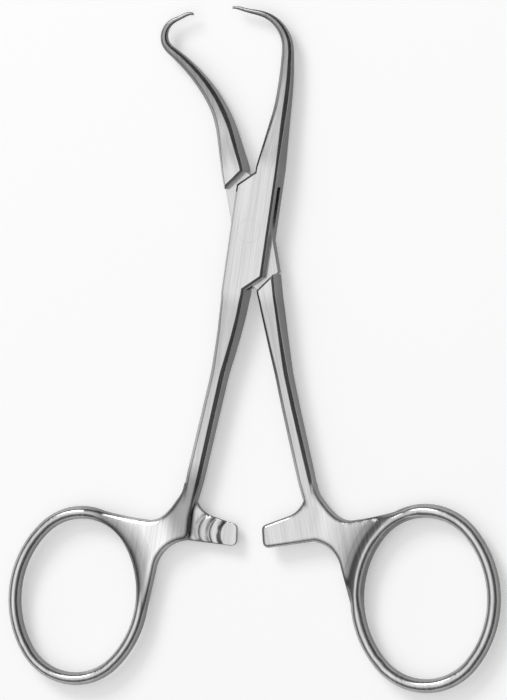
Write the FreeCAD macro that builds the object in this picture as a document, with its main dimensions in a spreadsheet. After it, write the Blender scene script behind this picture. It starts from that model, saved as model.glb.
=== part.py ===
import FreeCAD, Part
import Sketcher
import os
from math import atan2, cos, degrees, radians, sin, sqrt
from FreeCAD import Placement, Rotation, Vector

# Towel clamp with a box lock: two forged halves that cross at a riveted pivot.
# Millimetres. The clamp lies on its back: +Z is up, the jaws point to +Y and the
# finger rings to -Y. The origin is on the pivot's axis, in the plane it lies on.
# Each half is drawn in its own frame first, with the pivot at the origin, the bar
# of the lock along +Y and z = 0 at mid-thickness, and is then turned into place.

doc = FreeCAD.newDocument("TowelClamp")
sheet = doc.addObject("Spreadsheet::Sheet", "Sizes")

SIZES = (
    ("box_half_lean", 8.7, "box half turned clockwise from +Y, degrees"),
    ("male_half_lean", 10.0, "male half turned the other way, degrees"),
    ("closed_spread", 8.3, "angle between the two bars when the tips meet, degrees"),
    ("lock_half_width", 3.18, "half the width of the two plates"),
    ("lock_depth", 4.8, "thickness of the lock, over both plates"),
    ("lock_bevel", 0.35, "bevel along the lock's long edges"),
    ("lock_reach", 10.2, "pivot to the section where jaw or shank starts"),
    ("crotch_setback", 0.85, "lock's end to the inner end of a plate's slanted edge"),
    ("plate_slant", 2.4, "rise of that edge from the plate's outer corner"),
    ("crotch_offset", 0.45, "how far the roots of jaw and shank reach past the bar's axis"),
    ("slot_depth", 1.7, "gap between the two plates"),
    ("slot_beyond", 0.5, "plate's outer corner to the slot's end, along the bar"),
    ("slide_clearance", 0.05, "tongue to plate, each side"),
    ("root_clearance", 0.15, "tongue's slanted end to the root, jaws closed"),
    ("shoulder_gap", 0.35, "male shoulder to the plate's slanted edge, jaws closed"),
    ("tongue_half_width", 3.1, "half the width of the tongue"),
    ("tongue_beyond", 0.05, "plate's outer corner to the tongue's slanted end"),
    ("male_jaw_half_width", 2.95, "bar's axis to the outer edge of the male jaw's root"),
    ("male_root_half_width", 2.68, "bar's axis to the outer corner of the lower male root"),
    ("male_crotch_offset", 0.5, "how far the male roots reach past the bar's axis"),
    ("male_shank_half_width", 2.48, "bar's axis to the outer flank of the male shank"),
    ("pin_radius", 1.5, "radius of the pivot rivet"),
    ("pin_head_radius", 1.85, "radius of the rivet's flush heads"),
    ("pin_head_depth", 0.4, "depth of the countersink in each plate"),
    ("press_clearance", 0.01, "rivet to plate"),
    ("pivot_clearance", 0.04, "rivet to tongue"),
    ("box_jaw_heading", 3.05, "box half's jaw at the lock, degrees to the right"),
    ("box_jaw_straight", 7.9, "its straight run"),
    ("box_jaw_swell", 10.9, "its slow curve back to the left"),
    ("box_jaw_swell_turn", -10.5, "turn of that curve to the right, degrees"),
    ("box_jaw_hook", 8.2, "its hook"),
    ("box_jaw_hook_turn", -78.0, "turn of the hook to the right, degrees"),
    ("box_jaw_point", 4.6, "its point"),
    ("box_jaw_point_turn", -3.0, "turn of the point to the right, degrees"),
    ("male_jaw_heading", -3.0, "male half's jaw at the lock, degrees to the right"),
    ("male_jaw_straight", 5.45, "its straight run"),
    ("male_jaw_flare", 7.3, "its curve to the left"),
    ("male_jaw_flare_turn", -21.3, "turn of that curve to the right, degrees"),
    ("male_jaw_sweep", 9.6, "its next curve to the left"),
    ("male_jaw_sweep_turn", -19.0, "turn of that curve to the right, degrees"),
    ("male_jaw_hook", 5.3, "its hook"),
    ("male_jaw_hook_turn", 111.0, "turn of the hook to the right, degrees"),
    ("male_jaw_point", 3.8, "its point"),
    ("male_jaw_point_turn", 28.5, "turn of the point to the right, degrees"),
    ("jaw_waist_width", 2.3, "jaw width past the lock"),
    ("jaw_waist_depth", 3.4, "jaw thickness there"),
    ("jaw_waist_bevel", 0.65, "bevel there"),
    ("jaw_waist_at", 9.2, "distance of that section along the jaw"),
    ("jaw_bend_width", 1.6, "jaw width where the hook starts"),
    ("jaw_bend_depth", 2.0, "jaw thickness there"),
    ("jaw_bend_bevel", 0.48, "bevel there"),
    ("jaw_bend_at", 19.5, "distance of that section along the jaw"),
    ("tip_width", 0.42, "width of the sharpened tip"),
    ("tip_depth", 0.4, "thickness of the sharpened tip"),
    ("tip_bevel", 0.1, "bevel of the sharpened tip"),
    ("shank_waist_width", 2.25, "shank width at its thinnest"),
    ("shank_waist_depth", 3.8, "shank thickness there"),
    ("shank_waist_bevel", 0.62, "bevel there"),
    ("shank_waist_at", 13.0, "distance of that section along the shank"),
    ("shank_foot_width", 2.45, "shank width above the web"),
    ("shank_foot_depth", 3.2, "shank thickness there"),
    ("shank_foot_bevel", 0.6, "bevel there"),
    ("shank_foot_at", 30.0, "distance of that section along the shank"),
    ("jaw_spacing", 2.0, "spacing of a jaw's sections"),
    ("shank_spacing", 2.6, "spacing of a shank's sections"),
    ("shank_end_width", 1.5, "width of the shank's end, sunk in the web"),
    ("shank_end_depth", 2.2, "thickness of the shank's end"),
    ("shank_overrun", 1.5, "how far it runs past the handle's reference point"),
    ("box_shank_straight", 1.0, "straight run at the root of the box half's shank"),
    ("box_shank_heading", 0.0, "outward heading of that run, degrees"),
    ("male_shank_straight", 6.0, "straight run at the root of the male half's shank"),
    ("male_shank_heading", 0.0, "outward heading of that run, degrees"),
    ("male_shank_foot_in", 0.15, "male shank's foot from the reference point, to the arm"),
    ("box_shank_foot_in", 0.0, "the same for the box half"),
    ("box_shank_lean_length", 8.0, "length of the slow curve that follows, box half"),
    ("male_shank_lean_length", 15.0, "the same for the male half"),
    ("handle_drop", 47.0, "pivot to the handle's reference point, along the bar"),
    ("box_handle_out", 4.4, "handle's reference point from the bar's axis, box half"),
    ("male_handle_out", 2.5, "the same for the male half"),
    ("web_depth", 2.6, "thickness of the web between shank, ring and ratchet"),
    ("web_round", 0.9, "rounding of the web's edges"),
    ("web_corner", 1.2, "corner radius of the web beside the ratchet arm"),
    ("web_top", 6.0, "top of the web above the reference point"),
    ("web_inset", 0.15, "web's flanks inside the shank's, each side"),
    ("web_seam_inset", 0.1, "ends of the web's curves inside the ring's outer edge"),
    ("web_lap", 0.35, "web's inner end past the ring's centre line"),
    ("web_foot_out", 1.35, "web's lower inner corner from the reference point"),
    ("box_belly_out", 3.65, "foot of the web's lower curve, sideways, box half"),
    ("box_belly_drop", 8.6, "foot of that curve below the reference point"),
    ("box_belly_angle", 180.0, "where its straight run meets the ring, degrees round it"),
    ("male_belly_out", 2.68, "foot of the web's lower curve, sideways, male half"),
    ("male_belly_drop", 8.0, "foot of that curve below the reference point"),
    ("male_belly_angle", 183.0, "where its straight run meets the ring, degrees round it"),
    ("saddle_out", 6.0, "lowest stretch of the web's upper curve, sideways"),
    ("saddle_drop", 0.82, "that stretch below the reference point"),
    ("saddle_tilt", 2.5, "how it falls towards the ring, degrees"),
    ("saddle_bend_out", 3.4, "where that curve turns up to the shank, sideways"),
    ("saddle_bend_rise", 0.38, "that bend above the reference point"),
    ("saddle_angle", 98.0, "where the upper curve meets the ring, degrees round it"),
    ("box_ring_out", 15.72, "box half's ring centre from the reference point, sideways"),
    ("box_ring_drop", 14.55, "box half's ring centre below the reference point"),
    ("box_ring_lean", 0.2, "lean of its long axis towards the outside, degrees"),
    ("box_hole_half_width", 9.65, "half the short width of its finger hole"),
    ("box_hole_half_length", 12.25, "half the long width of its finger hole"),
    ("box_ring_band", 2.04, "its section, measured in the plane of the ring"),
    ("male_ring_out", 15.45, "male half's ring centre from the reference point, sideways"),
    ("male_ring_drop", 14.9, "male half's ring centre below the reference point"),
    ("male_ring_lean", 9.5, "lean of its long axis towards the outside, degrees"),
    ("male_hole_half_width", 10.15, "half the short width of its finger hole"),
    ("male_hole_half_length", 12.68, "half the long width of its finger hole"),
    ("male_ring_band", 2.2, "its section, measured in the plane of the ring"),
    ("ring_depth", 2.8, "ring section, measured through the ring"),
    ("ring_end_share", 0.87, "curve of the ring's two ends over half its short width"),
    ("ring_sides", 12, "sides of the ring's section"),
    ("box_arm_length", 8.75, "ratchet arm's tip from the reference point, box half"),
    ("male_arm_length", 9.1, "the same for the male half"),
    ("box_arm_top", 1.35, "arm's upper edge at the root, box half"),
    ("male_arm_top", 1.65, "arm's upper edge at the root, male half"),
    ("box_arm_tip_top", 0.8, "arm's upper edge at the tip, box half"),
    ("male_arm_tip_top", 1.0, "arm's upper edge at the tip, male half"),
    ("arm_bottom", 3.0, "arm's lower edge at the root"),
    ("arm_tip_bottom", 2.75, "arm's lower edge at the tip"),
    ("arm_corner", 0.9, "corner radius of the arm's tip"),
    ("arm_round", 0.65, "rounding of the arm's outer edges"),
    ("arm_tip_rake", 0.2, "how much further the tip's lower corner reaches"),
    ("arm_foot_out", 1.5, "where the arm's lower edge starts to narrow"),
    ("throat_top", 6.5, "upper end of the curve between arm and shank"),
    ("throat_top_out", 0.95, "that end from the reference point, sideways"),
    ("throat_foot_out", 4.4, "lower end of that curve, sideways"),
    ("mesh_clearance", 0.05, "ratchet crests to the plane between the two arms"),
    ("tooth_pitch", 1.85, "spacing of the ratchet's teeth"),
    ("tooth_height", 0.55, "depth of a tooth's locking face"),
    ("tooth_ramp", 0.7, "length of the ramp that climbs from its foot"),
    ("tooth_count", 3, "number of ratchet teeth"),
    ("tooth_nose", 2.65, "length of the first tooth's nose"),
    ("tooth_wall_radius", 2.6, "curve of a tooth's locking face"),
)

for row, (alias, value, meaning) in enumerate(SIZES, start=1):
    sheet.set(f"A{row}", meaning)
    sheet.set(f"B{row}", str(value))
    sheet.setAlias(f"B{row}", alias)
doc.recompute()


def size(alias):
    return float(sheet.get(alias))


# Plane geometry shared by the two halves.

def turned(point, angle):
    """A point of the plane, turned about the pivot by an angle in degrees."""
    a = radians(angle)
    x, y = point
    return (x * cos(a) - y * sin(a), x * sin(a) + y * cos(a))


def moved_aside(start, end, gap):
    """The line from start to end, moved to its left by gap."""
    length = sqrt((end[0] - start[0]) ** 2 + (end[1] - start[1]) ** 2)
    aside = (-(end[1] - start[1]) * gap / length, (end[0] - start[0]) * gap / length)
    return ((start[0] + aside[0], start[1] + aside[1]),
            (end[0] + aside[0], end[1] + aside[1]))


def height_at(line, x):
    """Height at which a line through two points passes x."""
    (x1, y1), (x2, y2) = line
    return y1 + (y2 - y1) * (x - x1) / (x2 - x1)


def place_at(line, y):
    """Place along x at which a line through two points passes y."""
    (x1, y1), (x2, y2) = line
    return x1 + (x2 - x1) * (y - y1) / (y2 - y1)


def swung(direction, chord, share):
    """The direction, swung towards the chord by a share of the angle between them."""
    angle = degrees(direction.getAngle(chord)) * share
    return Rotation(direction.cross(chord), angle).multVec(direction).normalize()


def tangent_arc(start, direction, end):
    """Arc that leaves start in a direction and ends at end."""
    chord = end - start
    swing = direction.getAngle(chord)
    radius = chord.Length / (2 * sin(swing))
    middle = start + swung(direction, chord, 0.5) * (2 * radius * sin(swing / 2))
    return Part.Arc(start, middle, end)


def both_ends(points):
    """An outline that looks the same after half a turn about the pivot."""
    return points + [(-x, -y) for x, y in points]


def prism(points, depth):
    """Upright prism over an outline, centred on z = 0."""
    corners = [Vector(x, y, -depth / 2) for x, y in points]
    face = Part.Face(Part.makePolygon(corners + corners[:1]))
    return face.extrude(Vector(0, 0, depth))


def rim(solid, levels, keep):
    """Edges lying flat at one of the levels whose middle passes the keep test."""
    chosen = []
    for edge in solid.Edges:
        middle = edge.valueAt((edge.FirstParameter + edge.LastParameter) / 2)
        box = edge.BoundBox
        flat = box.ZLength < 1e-4 and any(abs(middle.z - z) < 1e-4 for z in levels)
        if flat and keep(middle):
            chosen.append(edge)
    return chosen


# Bevelled bars: eight-sided sections strung along a path of tangent arcs.

def arc_path(start, heading, arcs):
    """Path of tangent arcs; each arc is a length and a turn to the right, in degrees.

    The heading is measured from +Y to the right. Returns a function that gives the
    point and the heading at a distance along the path.
    """
    def follow(distance):
        x, y = start
        angle = radians(heading)
        left = distance
        for length, turn in arcs:
            step = min(left, length)
            bend = radians(turn) * step / length
            chord = step * (sin(bend / 2) / (bend / 2) if abs(bend) > 1e-9 else 1)
            x += chord * sin(angle + bend / 2)
            y += chord * cos(angle + bend / 2)
            angle += bend
            left -= step
            if left <= 0:
                break
        return (x, y), degrees(angle)
    return follow


def bevelled_section(centre, heading, width, depth, bevel):
    """Rectangle with bevelled corners, standing square to the heading."""
    a = radians(heading)
    across = Vector(cos(a), -sin(a), 0)
    middle = Vector(centre[0], centre[1], 0)
    w, d = width / 2, depth / 2
    corners = ((w, d - bevel), (w - bevel, d), (bevel - w, d), (-w, d - bevel),
               (-w, bevel - d), (bevel - w, -d), (w - bevel, -d), (w, bevel - d))
    points = [middle + across * u + Vector(0, 0, v) for u, v in corners]
    return Part.makePolygon(points + points[:1])


def between(stations, distance):
    """Width, depth and bevel at a distance, in straight runs between stations."""
    for (s1, *sizes1), (s2, *sizes2) in zip(stations, stations[1:]):
        if distance <= s2:
            share = (distance - s1) / (s2 - s1)
            return [p + (q - p) * share for p, q in zip(sizes1, sizes2)]
    return list(stations[-1][1:])


def bevelled_bar(path, stations, spacing, square_heading):
    """Solid through sections along the path; the first one fits the lock's end."""
    length = stations[-1][0]
    count = max(len(stations), round(length / spacing))
    sections = []
    for i in range(count + 1):
        distance = length * i / count
        centre, heading = path(distance)
        if i == 0:
            heading = square_heading
        sections.append(bevelled_section(centre, heading, *between(stations, distance)))
    return Part.makeLoft(sections, True, False)


def jaw_path(half, root_middle, curves):
    """A jaw's path and length, from the curves that the sheet names for it."""
    arcs = [(size(half + "_jaw_straight"), 0)]
    arcs += [(size(f"{half}_jaw_{curve}"), size(f"{half}_jaw_{curve}_turn")) for curve in curves]
    path = arc_path((root_middle, size("lock_reach")), size(half + "_jaw_heading"), arcs)
    return path, sum(length for length, turn in arcs)


def jaw_stations(root_width, length):
    return ((0, root_width, size("lock_depth"), size("lock_bevel")),
            (size("jaw_waist_at"), size("jaw_waist_width"), size("jaw_waist_depth"),
             size("jaw_waist_bevel")),
            (size("jaw_bend_at"), size("jaw_bend_width"), size("jaw_bend_depth"),
             size("jaw_bend_bevel")),
            (length, size("tip_width"), size("tip_depth"), size("tip_bevel")))


def shank_stations(root_width, length):
    return ((0, root_width, size("lock_depth"), size("lock_bevel")),
            (size("shank_waist_at"), size("shank_waist_width"),
             size("shank_waist_depth"), size("shank_waist_bevel")),
            (size("shank_foot_at"), size("shank_foot_width"),
             size("shank_foot_depth"), size("shank_foot_bevel")),
            (length, size("shank_end_width"), size("shank_end_depth"),
             size("shank_foot_bevel") / 2))


def feature(name, shape):
    """A document object that holds one form of a half."""
    made = doc.addObject("Part::Feature", name)
    made.Shape = shape
    return made


# Handle: web, finger ring and ratchet arm, drawn once around a reference point at
# the shank's foot, with the ring towards +X and the arm towards -X. The arm takes
# the upper half of the thickness and its teeth face down. The male half uses it as
# drawn, the box half turned over about Y.

def ring_point(half, angle, outward):
    """Point at an angle round the ring, outward from its centre line."""
    middle = size(half + "_ring_band") / 2
    x = (size(half + "_hole_half_width") + middle + outward) * cos(radians(angle))
    y = (size(half + "_hole_half_length") + middle + outward) * sin(radians(angle))
    x, y = turned((x, y), -size(half + "_ring_lean"))
    return Vector(size(half + "_ring_out") + x, y - size(half + "_ring_drop"), 0)


def beyond_ring(half, point, outward):
    """Whether a point lies further out than the ring's centre line moved outward."""
    x, y = turned((point.x - size(half + "_ring_out"), point.y + size(half + "_ring_drop")),
                  size(half + "_ring_lean"))
    middle = size(half + "_ring_band") / 2
    across = size(half + "_hole_half_width") + middle + outward
    along = size(half + "_hole_half_length") + middle + outward
    return (x / across) ** 2 + (y / along) ** 2 > 1


def ring_section(band, radius):
    """Oval section of the ring in flat sides, upright at a distance from its arc's centre.

    The corners lie on an ellipse where its normal turns by equal steps.
    """
    a, b = band / 2, size("ring_depth") / 2
    sides = int(size("ring_sides"))
    corners = []
    for i in range(sides):
        normal = radians(360 * i / sides)
        reach = sqrt((a * cos(normal)) ** 2 + (b * sin(normal)) ** 2)
        corners.append(Vector(radius + a * a * cos(normal) / reach, 0, b * b * sin(normal) / reach))
    return Part.Face(Part.makePolygon(corners + corners[:1]))


def finger_ring(half):
    """Oval ring of four tangent arcs, each a turn of the long-round section."""
    band = size(half + "_ring_band")
    half_width = size(half + "_hole_half_width") + band / 2
    half_length = size(half + "_hole_half_length") + band / 2
    end_radius = half_width * size("ring_end_share")
    rise = half_length - end_radius
    side_radius = (half_width ** 2 + rise ** 2 - end_radius ** 2) / (2 * (half_width - end_radius))
    reach = side_radius - half_width
    meet = degrees(atan2(rise, reach))
    arcs = ((-reach, 0, side_radius, -meet, 2 * meet),
            (0, rise, end_radius, meet, 180 - 2 * meet),
            (reach, 0, side_radius, 180 - meet, 2 * meet),
            (0, -rise, end_radius, 180 + meet, 180 - 2 * meet))
    pieces = []
    for x, y, radius, start, sweep in arcs:
        piece = ring_section(band, radius).revolve(Vector(0, 0, 0), Vector(0, 0, 1), sweep)
        piece.Placement = Placement(Vector(x, y, 0), Rotation(Vector(0, 0, 1), start))
        pieces.append(piece)
    ring = pieces[0].multiFuse(pieces[1:]).removeSplitter()
    ring.Placement = Placement(Vector(size(half + "_ring_out"), -size(half + "_ring_drop"), 0),
                               Rotation(Vector(0, 0, 1), -size(half + "_ring_lean")))
    return ring


def web_plate(half):
    """Three-cornered plate that joins shank, ring and arm in wide hollow curves."""
    flank, top = size("shank_foot_width") / 2 - size("web_inset"), size("web_top")
    flank_in, flank_out = Vector(-flank, top, 0), Vector(flank, top, 0)
    foot = Vector(-size("web_foot_out"), -size("arm_bottom"), 0)
    belly = Vector(size(half + "_belly_out"), -size(half + "_belly_drop"), 0)
    saddle = Vector(size("saddle_out"), -size("saddle_drop"), 0)
    fall = Vector(cos(radians(size("saddle_tilt"))), -sin(radians(size("saddle_tilt"))), 0)
    bend = Vector(size("saddle_bend_out"), size("saddle_bend_rise"), 0)
    bend_heading = swung(-fall, bend - saddle, 2)
    low, high = size(half + "_belly_angle"), size("saddle_angle")
    seam = size(half + "_ring_band") / 2 - size("web_seam_inset")
    low_seam, high_seam = ring_point(half, low, seam), ring_point(half, high, seam)
    ring_low, ring_mid, ring_high = (ring_point(half, angle, -size("web_lap"))
                                     for angle in (low, (low + high) / 2, high))
    edges = [
        Part.LineSegment(flank_in, foot),
        tangent_arc(belly, Vector(0, 1, 0), foot),
        Part.LineSegment(belly, low_seam),
        Part.LineSegment(low_seam, ring_low),
        Part.Arc(ring_low, ring_mid, ring_high),
        Part.LineSegment(ring_high, high_seam),
        tangent_arc(saddle, fall, high_seam),
        tangent_arc(saddle, -fall, bend),
        tangent_arc(bend, bend_heading, flank_out),
        Part.LineSegment(flank_out, flank_in),
    ]
    outline = Part.Wire(Part.__sortEdges__([edge.toShape() for edge in edges]))
    depth = size("web_depth")
    outline.translate(Vector(0, 0, -depth / 2))
    plate = Part.Face(outline).extrude(Vector(0, 0, depth))
    near = size("web_corner") / 10
    upright = [edge for edge in plate.Edges
               if edge.BoundBox.ZLength > depth / 2 and (edge.CenterOfMass - foot).Length < near]
    plate = plate.makeFillet(size("web_corner"), upright)

    def outer(middle):
        return beyond_ring(half, middle, seam) and middle.y < top - near
    return plate.makeFillet(size("web_round"), rim(plate, (-depth / 2, depth / 2), outer))


def tooth_notch(wall, middle, top):
    """Cutter for the notch beside a tooth, curved about a point on the arm's middle line.

    Its inner side leaves the upright locking face, its outer side the ramp.
    """
    radius, ramp, height = size("tooth_wall_radius"), size("tooth_ramp"), size("tooth_height")
    corners = [Vector(0, -radius, top + height), Vector(0, -radius, top - height),
               Vector(0, -radius - 2 * ramp, top - height)]
    notch = Part.Face(Part.makePolygon(corners + corners[:1])).revolve(
        Vector(0, 0, 0), Vector(0, 0, 1), 180)
    notch.translate(Vector(wall - radius, middle, 0))
    return notch


def ratchet_arm(half):
    """Half-thickness arm with a rounded tip and the saw teeth on its inner face."""
    tip, corner = -size(half + "_arm_length"), size("arm_corner")
    top, tip_top = size(half + "_arm_top"), size(half + "_arm_tip_top")
    bottom, tip_bottom = -size("arm_bottom"), -size("arm_tip_bottom")
    rise = corner * (1 - cos(radians(45)))
    low_tip = tip - size("arm_tip_rake")
    foot = Vector(-size("arm_foot_out"), bottom, 0)
    throat = Vector(-size("throat_top_out"), size("throat_top"), 0)
    throat_foot = Vector(-size("throat_foot_out"), top, 0)
    top_corner = Vector(tip + corner, tip_top, 0)
    edges = [
        Part.LineSegment(Vector(0, bottom, 0), Vector(0, throat.y, 0)),
        Part.LineSegment(Vector(0, throat.y, 0), throat),
        tangent_arc(throat_foot, throat_foot - top_corner, throat),
        Part.LineSegment(throat_foot, top_corner),
        Part.Arc(top_corner, Vector(tip + rise, tip_top - rise, 0),
                 Vector(tip, tip_top - corner, 0)),
        Part.LineSegment(Vector(tip, tip_top - corner, 0), Vector(low_tip, tip_bottom + corner, 0)),
        Part.Arc(Vector(low_tip, tip_bottom + corner, 0),
                 Vector(low_tip + rise, tip_bottom + rise, 0),
                 Vector(low_tip + corner, tip_bottom, 0)),
        Part.LineSegment(Vector(low_tip + corner, tip_bottom, 0), foot),
        Part.LineSegment(foot, Vector(0, bottom, 0)),
    ]
    crest = size("mesh_clearance")
    face = size("web_depth") / 2
    outline = Part.Wire(Part.__sortEdges__([edge.toShape() for edge in edges]))
    outline.translate(Vector(0, 0, crest))
    arm = Part.Face(outline).extrude(Vector(0, 0, face - crest))
    arm = arm.makeFillet(size("arm_round"), rim(arm, (face,), lambda middle: middle.x < throat.x))
    first_wall = tip + size("tooth_nose")
    for i in range(int(size("tooth_count"))):
        wall = first_wall + i * size("tooth_pitch")
        arm = arm.cut(tooth_notch(wall, (tip_top + tip_bottom) / 2, crest))
    return arm


def handle_forms(half, out, turned_over):
    """Ring, web and ratchet arm of one half, placed at its shank's foot."""
    sign = -1 if turned_over else 1
    place = Placement(Vector(sign * out, -size("handle_drop"), 0),
                      Rotation(Vector(0, 1, 0), 180 if turned_over else 0))
    forms = []
    for name, shape in (("_ring", finger_ring(half)), ("_web", web_plate(half)),
                        ("_ratchet", ratchet_arm(half))):
        form = feature(half + name, shape)
        form.Placement = place.multiply(shape.Placement)
        forms.append(form)
    return forms


def shank(half, side, root_in, root_out):
    """Shank from the lock's lower end to the handle; side is -1 for -X, 1 for +X.

    A short run, a slow curve and a long straight lead to the handle's reference point.
    """
    start = (side * (root_out - root_in) / 2, -size("lock_reach"))
    drop = size("handle_drop") - size("lock_reach") + size("shank_overrun")
    straight, lean_length = size(half + "_shank_straight"), size(half + "_shank_lean_length")
    heading = size(half + "_shank_heading")
    foot = size(half + "_handle_out") - size(half + "_shank_foot_in")
    run = foot - abs(start[0]) - straight * sin(radians(heading))
    lean = degrees(atan2(run, drop - straight - lean_length / 2))
    arcs = ((straight, 0), (lean_length, side * -(lean - heading)),
            (drop - straight - lean_length, 0))
    path = arc_path(start, 180 - side * heading, arcs)
    return feature(half + "_shank", bevelled_bar(
        path, shank_stations(root_in + root_out, drop), size("shank_spacing"), 180))


# Box half: the lock's two plates, the right-hand jaw and the left-hand handle.

lock_half, reach = size("lock_half_width"), size("lock_reach")
lock_depth, bevel = size("lock_depth"), size("lock_bevel")
inner = size("crotch_offset")
crotch_height = reach - size("crotch_setback")
plate_corner = crotch_height - size("plate_slant")
tongue_corner = plate_corner + size("tongue_beyond")
slot_end = plate_corner + size("slot_beyond")
plate_edge = ((-lock_half, plate_corner), (-inner, crotch_height))
lock_faces = (-lock_depth / 2, lock_depth / 2)
inboard = reach - bevel / 2

block = prism(both_ends([(lock_half, reach), (-inner, reach), plate_edge[1], plate_edge[0]]),
              lock_depth)
block = block.makeChamfer(bevel, rim(block, lock_faces, lambda middle: abs(middle.y) < inboard))
box_block = feature("BoxBlock", block)

box_path, box_jaw_length = jaw_path("box", (lock_half - inner) / 2, ("swell", "hook", "point"))
box_jaw = feature("BoxJaw", bevelled_bar(
    box_path, jaw_stations(lock_half + inner, box_jaw_length), size("jaw_spacing"), 0))
box_shank = shank("box", -1, inner, lock_half)

# Male half: the tongue that passes through the slot, the left-hand jaw and the
# right-hand handle. Its shoulders follow the plates' slanted edges.

tongue_half, slide = size("tongue_half_width"), size("slide_clearance")
male_inner = size("male_crotch_offset")
closed = size("closed_spread")
shoulder = moved_aside(*plate_edge, size("shoulder_gap"))
shoulder = tuple(turned(point, -closed) for point in shoulder)
jaw_half, root_half = size("male_jaw_half_width"), size("male_root_half_width")
jaw_corner = (-jaw_half, height_at(shoulder, -jaw_half))
root_corner = (root_half, -height_at(shoulder, -root_half))
shoulder_high = (male_inner, height_at(shoulder, male_inner))

shank_half = size("male_shank_half_width")
tongue = feature("MaleTongue", prism(
    [(tongue_half, tongue_corner), shoulder_high, (male_inner, reach),
     (-jaw_half, reach), jaw_corner, (-tongue_half, height_at(shoulder, -tongue_half)),
     (-tongue_half, -tongue_corner), (-shoulder_high[0], -shoulder_high[1]),
     (-male_inner, -reach), (shank_half, -reach), root_corner,
     (tongue_half, -height_at(shoulder, -tongue_half))], size("slot_depth") - 2 * slide))


def male_root(name, corners):
    """Full-thickness root beyond a shoulder, bevelled all round but at its far end."""
    root = prism(corners, lock_depth)
    return feature(name, root.makeChamfer(
        bevel, rim(root, lock_faces, lambda middle: abs(middle.y) < inboard)))


upper_root = male_root("MaleUpperRoot", [
    jaw_corner, shoulder_high, (male_inner, reach), (-jaw_half, reach)])
lower_root = male_root("MaleLowerRoot", [
    root_corner, (-shoulder_high[0], -shoulder_high[1]), (-male_inner, -reach), (shank_half, -reach)])

male_path, male_jaw_length = jaw_path("male", (male_inner - jaw_half) / 2,
                                      ("flare", "sweep", "hook", "point"))
male_jaw = feature("MaleJaw", bevelled_bar(
    male_path, jaw_stations(jaw_half + male_inner, male_jaw_length), size("jaw_spacing"), 0))
male_shank = shank("male", 1, male_inner, shank_half)

# Slot: open on both sides and over the plates' slanted edges, closed by a slanted
# root that the tongue's end meets with a clearance.

tongue_end = (turned((tongue_half, tongue_corner), closed), turned(shoulder_high, closed))
root_wall = moved_aside(tongue_end[1], tongue_end[0], size("root_clearance"))
outside = 2 * lock_half
slot = feature("Slot", prism(both_ends(
    [(outside, slot_end), (place_at(root_wall, slot_end), slot_end),
     (-inner, height_at(root_wall, -inner)), (-inner, crotch_height + slide),
     (-outside, crotch_height + slide)]), size("slot_depth")))

# Rivet holes: a close one with countersinks in the plates, a running one in the tongue.

plate_bore = doc.addObject("Part::Cylinder", "PlateBore")
plate_bore.setExpression("Radius", "Sizes.pin_radius + Sizes.press_clearance")
plate_bore.setExpression("Height", "Sizes.lock_depth")
plate_bore.setExpression("Placement.Base.z", "-Sizes.lock_depth / 2")

tongue_bore = doc.addObject("Part::Cylinder", "TongueBore")
tongue_bore.setExpression("Radius", "Sizes.pin_radius + Sizes.pivot_clearance")
tongue_bore.setExpression("Height", "Sizes.lock_depth")
tongue_bore.setExpression("Placement.Base.z", "-Sizes.lock_depth / 2")

sinks = []
for name, wide_end, narrow_end, height in (
        ("UpperSink", "Radius2", "Radius1", "Sizes.lock_depth / 2 - Sizes.pin_head_depth"),
        ("LowerSink", "Radius1", "Radius2", "-Sizes.lock_depth / 2")):
    sink = doc.addObject("Part::Cone", name)
    sink.setExpression(wide_end, "Sizes.pin_head_radius + Sizes.press_clearance")
    sink.setExpression(narrow_end, "Sizes.pin_radius + Sizes.press_clearance")
    sink.setExpression("Height", "Sizes.pin_head_depth")
    sink.setExpression("Placement.Base.z", height)
    sinks.append(sink)


def joined(name, forms):
    whole = doc.addObject("Part::MultiFuse", name)
    whole.Shapes = forms
    return whole


def cut_away(name, base, tools):
    """The base less all the tools."""
    cutter = tools[0] if len(tools) == 1 else joined(name + "Tools", tools)
    result = doc.addObject("Part::Cut", name)
    result.Base = base
    result.Tool = cutter
    return result


box_forging = joined("BoxForging", [box_block, box_jaw, box_shank]
                     + handle_forms("box", size("box_handle_out"), True))
box_half = cut_away("BoxHalf", box_forging, [slot, plate_bore] + sinks)
box_half.Label = "box_half"
box_half.Placement.Rotation = Rotation(Vector(0, 0, 1), -size("box_half_lean"))
box_half.setExpression("Placement.Base.z", "Sizes.lock_depth / 2")

male_forging = joined("MaleForging", [tongue, upper_root, lower_root, male_jaw, male_shank]
                      + handle_forms("male", size("male_handle_out"), False))
male_half = cut_away("MaleHalf", male_forging, [tongue_bore])
male_half.Label = "male_half"
male_half.Placement.Rotation = Rotation(Vector(0, 0, 1), size("male_half_lean"))
male_half.setExpression("Placement.Base.z", "Sizes.lock_depth / 2")

# Pivot rivet: a turned pin whose heads flare into the countersinks, ground flush.

pin = doc.addObject("PartDesign::Body", "PivotPin")
pin.Label = "pivot_pin"
profile = pin.newObject("Sketcher::SketchObject", "PinProfile")
upright = [plane for plane in pin.Origin.OriginFeatures if plane.Role == "XZ_Plane"][0]
profile.AttachmentSupport = [(upright, "")]
profile.MapMode = "FlatFace"

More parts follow.
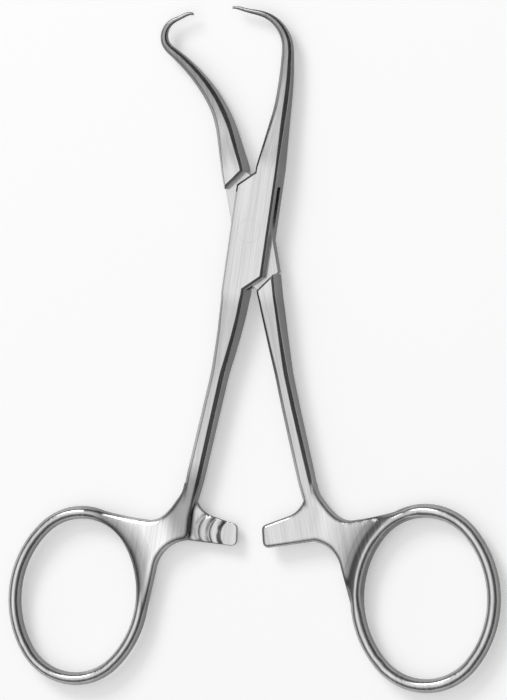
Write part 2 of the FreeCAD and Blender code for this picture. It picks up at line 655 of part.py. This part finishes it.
head, stem = size("pin_head_radius"), size("pin_radius")
low, high = size("pin_head_depth"), size("lock_depth") - size("pin_head_depth")
corners = [(0, 0), (head, 0), (stem, low), (stem, high), (head, size("lock_depth")),
           (0, size("lock_depth"))]
for start, end in zip(corners, corners[1:] + corners[:1]):
    profile.addGeometry(Part.LineSegment(Vector(*start, 0), Vector(*end, 0)))
last = len(corners) - 1
for i in range(last):
    profile.addConstraint(Sketcher.Constraint("Coincident", i, 2, i + 1, 1))
profile.addConstraint(Sketcher.Constraint("Coincident", last, 2, 0, 1))
profile.addConstraint(Sketcher.Constraint("Coincident", 0, 1, -1, 1))
for edge in (0, 4):
    profile.addConstraint(Sketcher.Constraint("Horizontal", edge))
for edge in (2, last):
    profile.addConstraint(Sketcher.Constraint("Vertical", edge))
for name, kind, edge, value, formula in (
        ("lower_head", "DistanceX", 0, head, "Sizes.pin_head_radius"),
        ("upper_head", "DistanceX", 4, -head, "-Sizes.pin_head_radius"),
        ("flare", "DistanceX", 1, stem - head, "Sizes.pin_radius - Sizes.pin_head_radius"),
        ("lower_depth", "DistanceY", 1, low, "Sizes.pin_head_depth"),
        ("upper_depth", "DistanceY", 3, low, "Sizes.pin_head_depth"),
        ("height", "DistanceY", last, -size("lock_depth"), "-Sizes.lock_depth")):
    number = profile.addConstraint(Sketcher.Constraint(kind, edge, 1, edge, 2, value))
    profile.renameConstraint(number, name)
    profile.setExpression("Constraints." + name, formula)
turned_pin = pin.newObject("PartDesign::Revolution", "TurnedPin")
turned_pin.Profile = profile
turned_pin.ReferenceAxis = (profile, ["V_Axis"])
turned_pin.Angle = 360

doc.recompute()

nodes = [box_half, male_half, pin]
for item in doc.Objects:
    if "Invalid" in item.State or "Error" in item.State:
        raise RuntimeError(f"{item.Name} did not build: {item.State}")
for node in nodes:
    if node.Shape.isNull() or not node.Shape.isValid() or len(node.Shape.Solids) != 1:
        raise RuntimeError(f"{node.Label} is not one valid solid")

os.makedirs("parts", exist_ok=True)
for node in nodes:
    node.Shape.exportStep(f"parts/{node.Label}.step")
    print(node.Label, round(node.Shape.Volume, 1), "mm3", node.Shape.BoundBox)
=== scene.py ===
import math

import bmesh
import bpy
import numpy as np
from mathutils import Matrix, Vector


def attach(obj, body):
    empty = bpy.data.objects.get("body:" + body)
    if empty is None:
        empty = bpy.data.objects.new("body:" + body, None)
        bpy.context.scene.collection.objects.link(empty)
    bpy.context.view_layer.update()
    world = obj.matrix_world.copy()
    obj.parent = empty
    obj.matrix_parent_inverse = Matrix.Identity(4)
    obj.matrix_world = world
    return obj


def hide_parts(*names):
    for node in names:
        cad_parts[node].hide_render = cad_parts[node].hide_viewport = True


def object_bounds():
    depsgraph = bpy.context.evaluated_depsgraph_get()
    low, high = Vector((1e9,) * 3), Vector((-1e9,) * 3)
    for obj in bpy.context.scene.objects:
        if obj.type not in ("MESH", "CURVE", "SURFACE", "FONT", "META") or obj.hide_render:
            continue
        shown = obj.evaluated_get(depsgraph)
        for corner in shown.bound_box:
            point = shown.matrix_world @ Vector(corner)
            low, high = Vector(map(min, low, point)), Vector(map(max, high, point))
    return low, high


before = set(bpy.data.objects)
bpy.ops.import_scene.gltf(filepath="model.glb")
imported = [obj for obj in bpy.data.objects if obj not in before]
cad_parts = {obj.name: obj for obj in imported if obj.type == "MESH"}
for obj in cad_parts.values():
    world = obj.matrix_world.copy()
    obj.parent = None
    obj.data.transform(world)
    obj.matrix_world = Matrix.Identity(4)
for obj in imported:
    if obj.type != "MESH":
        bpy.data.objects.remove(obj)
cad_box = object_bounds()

scene = bpy.context.scene

# Camera. The clamp is drawn from above, a little from its right, with its jaws at
# the top of the picture and 0.158 mm of steel to each point of the picture.
metres_to_a_point = 0.158e-3
picture_height = 700 * metres_to_a_point
seen_from_right = math.radians(18)
lock_middle = (cad_box[0][2] + cad_box[1][2]) / 2
aim = Vector((0.0, -0.0188, lock_middle))
towards_camera = Vector((math.sin(seen_from_right), 0, math.cos(seen_from_right)))
picture_right = Vector((math.cos(seen_from_right), 0, -math.sin(seen_from_right)))
picture_up = Vector((0, 1, 0))
camera_distance = 1.6

lens = bpy.data.cameras.new("lens")
lens.sensor_fit = "VERTICAL"
lens.sensor_height = 36
lens.lens = lens.sensor_height * camera_distance / picture_height
lens.clip_end = 10
camera = bpy.data.objects.new("camera", lens)
axes = Matrix((picture_right, picture_up, towards_camera)).transposed().to_4x4()
camera.matrix_world = Matrix.Translation(aim + towards_camera * camera_distance) @ axes
scene.collection.objects.link(camera)
scene.camera = camera

# Box half: jaw, lock plates, shank, finger ring and ratchet arm in one forging of
# martensitic stainless steel. Its flats are ground lengthwise with a belt, its
# edges broken, and all of it satin polished before the halves are riveted.
box_lean = -8.7
# Where the web's middle and the ring's oval lie, then what the web does with the
# distance from the ring: its height in millimetres, and its painted shade and highlight as a share
# of 1.5.
box_handle = {"web": (-0.0155, -0.0475, lock_middle), "ring": (-0.0292, -0.0578, 0),
              "ring_lean": -8.5, "ring_axes": (0.01067, 0.01327),
              "height": ((0.05, 0.2), (0.25, 0.6), (0.42, 0.93), (0.7, 1)),
              "tone": ((0.1, 0.24), (0.2, 0.32), (0.3, 0.8), (0.4, 0.93), (0.68, 0.93),
                       (0.82, 0.5), (0.92, 0.36), (1, 0.36))}


def satin_steel(name, lean, handle):
    """Satin steel whose polishing lines run along a bar that leans by some degrees.

    Noise stretched forty to one along the bar sets the lines in tone, roughness and
    relief; wider bands along it move the tone, as uneven pressure on the belt does.
    Edges are shaded round, by a radius that is nought over the rivet, small on the
    jaws and shanks and largest round the web: the lock is filed crisp, the handles
    are buffed soft. Jaws and shanks get a painted shade just past the lock, and a
    darker painted shade towards the sharp hooks. Round edges are brighter than the
    flats, partly from edge wear and partly as a painted highlight, and the upright
    flanks get a painted shade. Beside the finger ring the web falls off to the hole:
    by the distance from the ring's oval, a height curve bends the surface and a tone
    curve paints shade and highlight on it. A piece with no handle, such as the rivet,
    leaves that out.
    """
    material = bpy.data.materials.new(name)
    material.use_nodes = True
    nodes, links = material.node_tree.nodes, material.node_tree.links
    shader = nodes["Principled BSDF"]
    shader.inputs["Metallic"].default_value = 1.0
    place = nodes.new("ShaderNodeTexCoord").outputs["Object"]

    def curve(value, stops, run="LINEAR"):
        """A value read off a line through (place, level) stops, all from 0 to 1."""
        ramp = nodes.new("ShaderNodeValToRGB")
        ramp.color_ramp.interpolation = run
        while len(ramp.color_ramp.elements) < len(stops):
            ramp.color_ramp.elements.new(0.5)
        for element, (at, level) in zip(ramp.color_ramp.elements, stops):
            element.position = at
            element.color = (level, level, level, 1)
        links.new(value, ramp.inputs["Fac"])
        return ramp.outputs["Color"]

    def combined(operation, first, second):
        """Two values put together; either may be a plain number."""
        node = nodes.new("ShaderNodeMath")
        node.operation = operation
        for value, socket in zip((first, second), node.inputs):
            if isinstance(value, (int, float)):
                socket.default_value = value
            else:
                links.new(value, socket)
        return node.outputs["Value"]

    def decimetres_from(point):
        """Distance from a point, in units of a tenth of a metre."""
        away = nodes.new("ShaderNodeVectorMath")
        away.operation = "DISTANCE"
        away.inputs[1].default_value = point
        links.new(place, away.inputs[0])
        return combined("MULTIPLY", away.outputs["Value"], 10)

    millimetre = 0.001
    lines_per_metre, bands_per_metre, stretch = 3500, 450, 40
    along = nodes.new("ShaderNodeMapping")
    along.vector_type = "TEXTURE"
    along.inputs["Rotation"].default_value = (0, 0, math.radians(lean))
    along.inputs["Scale"].default_value = (1, stretch, 1)
    links.new(place, along.inputs["Vector"])
    lines = nodes.new("ShaderNodeTexNoise")
    lines.inputs["Scale"].default_value = lines_per_metre
    lines.inputs["Detail"].default_value = 4
    links.new(along.outputs["Vector"], lines.inputs["Vector"])
    bands = nodes.new("ShaderNodeTexNoise")
    bands.inputs["Scale"].default_value = bands_per_metre
    bands.inputs["Detail"].default_value = 1
    links.new(along.outputs["Vector"], bands.inputs["Vector"])

    facing = nodes.new("ShaderNodeSeparateXYZ")
    links.new(nodes["Texture Coordinate"].outputs["Normal"], facing.inputs["Vector"])
    # 0 on an upright flank, 1 on a face that lies flat.
    lies_flat = combined("ABSOLUTE", facing.outputs["Z"], 0)
    # Painted shade: upright flanks are darkened, faces that lie flat are not.
    painted_light = curve(lies_flat, ((0, 0.32), (0.35, 0.45), (0.75, 0.9), (1, 1)))

    from_pivot = decimetres_from((0, 0, lock_middle))
    # The edges' radius in millimetres.
    edge = curve(from_pivot, ((0, 0), (0.034, 0), (0.036, 0.08), (0.095, 0.08), (0.16, 0.3)))
    if handle:
        near_web = decimetres_from(handle["web"])
        edge = combined("MAXIMUM", edge, curve(near_web, ((0, 1), (0.07, 1), (0.12, 0))))
        oval = nodes.new("ShaderNodeMapping")
        oval.vector_type = "TEXTURE"
        oval.inputs["Location"].default_value = handle["ring"]
        oval.inputs["Rotation"].default_value = (0, 0, math.radians(handle["ring_lean"]))
        oval.inputs["Scale"].default_value = (*handle["ring_axes"], 1)
        links.new(place, oval.inputs["Vector"])
        ring_share = nodes.new("ShaderNodeVectorMath")
        ring_share.operation = "LENGTH"
        links.new(oval.outputs["Vector"], ring_share.inputs[0])
        # 0 lies about 2 mm inside the ring's middle line, 1 about 10 mm outside it.
        beside_ring = combined("ADD", ring_share.outputs["Value"], 2 / 12 - 1)
        on_web = curve(near_web, ((0, 1), (0.10, 1), (0.13, 0)))
        ridge = curve(beside_ring, handle["height"], "B_SPLINE")
        ridge = combined("MULTIPLY", combined("SUBTRACT", ridge, 1), on_web)
        # The ratchet arm of the box half lies at mid-thickness and is left out of the painted web
        # shade and highlight.
        height = nodes.new("ShaderNodeSeparateXYZ")
        links.new(place, height.inputs["Vector"])
        off_middle = combined("ABSOLUTE", combined("SUBTRACT", height.outputs["Z"], lock_middle), 0)
        on_face = curve(combined("MULTIPLY", off_middle, 100), ((0.02, 0), (0.05, 1)))
        # Painted shade and painted highlight on the web by the distance from the ring, scaled by
        # brightest as the ramp holds levels up to 1 only.
        brightest = 1.5
        painted_web_light = combined("MULTIPLY", curve(beside_ring, handle["tone"], "B_SPLINE"), brightest)
        painted_web_light = combined("SUBTRACT", painted_web_light, 1)
        painted_web_light = combined("MULTIPLY", painted_web_light, combined("MULTIPLY", on_web, on_face))
        painted_light = combined("MULTIPLY", painted_light, combined("ADD", painted_web_light, 1))
    round_edge = nodes.new("ShaderNodeBevel")
    round_edge.samples = 8
    links.new(combined("MULTIPLY", edge, millimetre), round_edge.inputs["Radius"])
    flat = nodes.new("ShaderNodeNewGeometry")
    agree = nodes.new("ShaderNodeVectorMath")
    agree.operation = "DOT_PRODUCT"
    links.new(round_edge.outputs["Normal"], agree.inputs[0])
    links.new(flat.outputs["Normal"], agree.inputs[1])
    # Round edges: partly edge wear, partly a painted highlight.
    edge_wear_and_highlight = combined("SUBTRACT", 1, agree.outputs["Value"])

    tone = combined("ADD", curve(bands.outputs["Fac"], ((0.3, 0.44), (0.7, 0.56))),
                    curve(lines.outputs["Fac"], ((0.35, 0.0), (0.65, 0.11))))
    # Painted shade on the jaws and shanks just past the lock.
    tone = combined("MULTIPLY", tone, curve(from_pivot, (
        (0.1, 1), (0.13, 0.78), (0.2, 0.82), (0.32, 0.92), (0.43, 1)), "EASE"))
    # Darker painted shade towards the sharp hooks.
    between_hooks = (-0.005, 0.033, lock_middle)
    near_hooks = decimetres_from(between_hooks)
    tone = combined("MULTIPLY", tone, curve(near_hooks, ((0.05, 0.42), (0.1, 0.55), (0.17, 1))))
    # Painted highlight and edge wear brighten the round edges.
    tone = combined("ADD", tone, combined("MULTIPLY", edge_wear_and_highlight, 1.2))
    # Painted shade on the upright flanks, and painted shade and highlight on the web.
    tone = combined("MULTIPLY", tone, painted_light)
    links.new(tone, shader.inputs["Base Color"])
    rough = curve(lines.outputs["Fac"], ((0.3, 0.16), (0.7, 0.28)))
    links.new(combined("SUBTRACT", rough, combined("MULTIPLY", edge_wear_and_highlight, 0.2)),
              shader.inputs["Roughness"])
    relief = nodes.new("ShaderNodeBump")
    relief.inputs["Strength"].default_value = 0.12
    relief.inputs["Distance"].default_value = 0.02 * millimetre
    links.new(lines.outputs["Fac"], relief.inputs["Height"])
    links.new(round_edge.outputs["Normal"], relief.inputs["Normal"])
    if handle:
        raised = nodes.new("ShaderNodeBump")
        raised.inputs["Distance"].default_value = millimetre
        links.new(ridge, raised.inputs["Height"])
        links.new(round_edge.outputs["Normal"], raised.inputs["Normal"])
        links.new(raised.outputs["Normal"], relief.inputs["Normal"])
    links.new(relief.outputs["Normal"], shader.inputs["Normal"])
    return material


def blended(points, lean, side, foot, slope):
    """Points of a half with the web's shoulder ground in to the shank's outer flank.

    Down the half's own bar, the flank is a line that is foot away from the bar's axis
    at flank_end and comes nearer to it by slope on the way up. What stands out from
    it is drawn in, wholly at web_top and not at all at blend_end, in a smooth step.
    """
    web_top, blend_end, flank_end = 0.041, 0.0445, 0.0485
    a = math.radians(lean)
    across = side * (points[:, 0] * math.cos(a) + points[:, 1] * math.sin(a))
    down = points[:, 0] * math.sin(a) - points[:, 1] * math.cos(a)
    excess = across - (foot - (flank_end - down) * slope)
    share = np.clip((blend_end - down) / (blend_end - web_top), 0, 1)
    drawn_in = excess * share ** 2 * (3 - 2 * share)
    cut = np.where((excess > 0) & (down > web_top - 1e-4), drawn_in, 0)
    moved = points.copy()
    moved[:, 0] -= side * cut * math.cos(a)
    moved[:, 1] -= side * cut * math.sin(a)
    return moved


def polished(node, body, steel, shoulder):
    """The forging as polished: its solid's faces joined, the web's shoulder blended,
    and smooth where the faces turn by less than 38 degrees."""
    joined = bmesh.new()
    joined.from_mesh(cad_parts[node].data)
    bmesh.ops.remove_doubles(joined, verts=joined.verts, dist=2e-6)
    skin = bpy.data.meshes.new(node + "_polished")
    joined.to_mesh(skin)
    joined.free()
    points = np.empty(len(skin.vertices) * 3)
    skin.vertices.foreach_get("co", points)
    skin.vertices.foreach_set("co", blended(points.reshape(-1, 3), **shoulder).ravel())
    # The solid's stored normals would keep each of its narrow faces flat.
    if "custom_normal" in skin.attributes:
        skin.attributes.remove(skin.attributes["custom_normal"])
    skin.shade_smooth()
    skin.set_sharp_from_angle(angle=math.radians(38))
    skin.materials.clear()
    skin.materials.append(steel)
    piece = bpy.data.objects.new(node + "_polished", skin)
    scene.collection.objects.link(piece)
    # Wide faces set the shading, so that ground flats look flat up to their edges.
    flats = piece.modifiers.new("flats", "WEIGHTED_NORMAL")
    flats.keep_sharp = True
    flats.weight = 50
    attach(piece, body)
    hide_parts(node)


polished("box_half", "box_side", satin_steel("satin_steel_box_half", box_lean, box_handle),
         {"lean": box_lean, "side": -1, "foot": 0.005625, "slope": 0.0911})

# Male half: jaw, tongue, shank, finger ring and ratchet arm in one forging, of the
# same steel and finish. Its polishing lines follow its own bar, which leans the
# other way.
male_lean = 10.0
# As for the box half: the web's height in millimetres, and its painted shade and highlight as a
# share of 1.5, brightest along the ring's middle line.
male_handle = {"web": (0.0155, -0.0475, lock_middle), "ring": (0.0284, -0.0578, 0),
               "ring_lean": 0.5, "ring_axes": (0.01125, 0.01378),
               "height": ((0.06, 0.1), (0.167, 1), (0.27, 0.1), (0.36, 0.4), (0.5, 0.9), (0.6, 1)),
               "tone": ((0.06, 0.27), (0.17, 0.8), (0.27, 0.13), (0.34, 0.36), (0.44, 0.6),
                        (0.58, 0.58), (0.75, 0.73), (0.9, 0.73), (1, 0.67))}
polished("male_half", "male_side", satin_steel("satin_steel_male_half", male_lean, male_handle),
         {"lean": male_lean, "side": 1, "foot": 0.003575, "slope": 0.0548})

# Pivot rivet: a stainless pin, peened into the countersinks and ground flush with
# the plates, so that it takes the same lines as the box half.
rivet_steel = satin_steel("satin_steel_rivet", box_lean, None)
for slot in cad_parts["pivot_pin"].material_slots:
    slot.material = rivet_steel

# Table. White board that fills the picture and takes the clamp's soft shadow. It is
# lifted a little for the camera and in reflections, so that it looks white.
reach = 2.0
board_face = bpy.data.meshes.new("table")
board_face.from_pydata([(-reach, -reach, 0), (reach, -reach, 0), (reach, reach, 0),
                        (-reach, reach, 0)], [], [(0, 1, 2, 3)])
table = bpy.data.objects.new("table", board_face)
scene.collection.objects.link(table)


def camera_or_mirror(nodes, links):
    """1 for rays from the camera, from a mirror or through glass, else 0."""
    path = nodes.new("ShaderNodeLightPath")
    total = path.outputs["Is Camera Ray"]
    for name in ("Is Glossy Ray", "Is Transmission Ray"):
        larger = nodes.new("ShaderNodeMath")
        larger.operation = "MAXIMUM"
        links.new(total, larger.inputs[0])
        links.new(path.outputs[name], larger.inputs[1])
        total = larger.outputs["Value"]
    return total


board = bpy.data.materials.new("white_board")
board.use_nodes = True
nodes, links = board.node_tree.nodes, board.node_tree.links
nodes.clear()
matte = nodes.new("ShaderNodeBsdfDiffuse")
matte.inputs["Color"].default_value = (0.88, 0.88, 0.88, 1)
glow = nodes.new("ShaderNodeEmission")
lift = nodes.new("ShaderNodeMath")
lift.operation = "MULTIPLY"
lift.inputs[1].default_value = 0.295
links.new(camera_or_mirror(nodes, links), lift.inputs[0])
links.new(lift.outputs["Value"], glow.inputs["Strength"])
both = nodes.new("ShaderNodeAddShader")
links.new(matte.outputs["BSDF"], both.inputs[0])
links.new(glow.outputs["Emission"], both.inputs[1])
output = nodes.new("ShaderNodeOutputMaterial")
links.new(both.outputs["Shader"], output.inputs["Surface"])
table.data.materials.append(board)

# Room. Pale ceiling, brighter to the left, over walls that fall off to dark, so
# that the steel's flats are light and its side bevels dark.
world = bpy.data.worlds.new("room")
scene.world = world
world.use_nodes = True
nodes, links = world.node_tree.nodes, world.node_tree.links
nodes.clear()
place = nodes.new("ShaderNodeTexCoord")
parts = nodes.new("ShaderNodeSeparateXYZ")
links.new(place.outputs["Generated"], parts.inputs["Vector"])
sky = nodes.new("ShaderNodeValToRGB")
heights = ((0.0, 0.22), (0.4, 0.14), (0.68, 0.28), (0.88, 0.95), (1.0, 1.3))
while len(sky.color_ramp.elements) < len(heights):
    sky.color_ramp.elements.new(0.5)
for element, (height, level) in zip(sky.color_ramp.elements, heights):
    element.position = height
    element.color = (level, level, level, 1)
links.new(parts.outputs["Z"], sky.inputs["Fac"])
aside = nodes.new("ShaderNodeMapRange")
aside.inputs["From Min"].default_value = -1
aside.inputs["From Max"].default_value = 1
aside.inputs["To Min"].default_value = 1.35
aside.inputs["To Max"].default_value = 0.6
links.new(parts.outputs["X"], aside.inputs["Value"])
room = nodes.new("ShaderNodeBackground")
links.new(sky.outputs["Color"], room.inputs["Color"])
links.new(aside.outputs["Result"], room.inputs["Strength"])
output = nodes.new("ShaderNodeOutputWorld")
links.new(room.outputs["Background"], output.inputs["Surface"])


def soft_box(name, place, size, power):
    """Square lamp that faces the lock from a place in the room."""
    lamp = bpy.data.lights.new(name, "AREA")
    lamp.size = size
    lamp.energy = power
    made = bpy.data.objects.new(name, lamp)
    made.location = place
    made.rotation_euler = (aim - Vector(place)).to_track_quat("-Z", "Y").to_euler()
    scene.collection.objects.link(made)


soft_box("key_upper_left", (-0.45, 0.75, 0.85), 0.5, 5.0)

scene.view_settings.view_transform = "Standard"
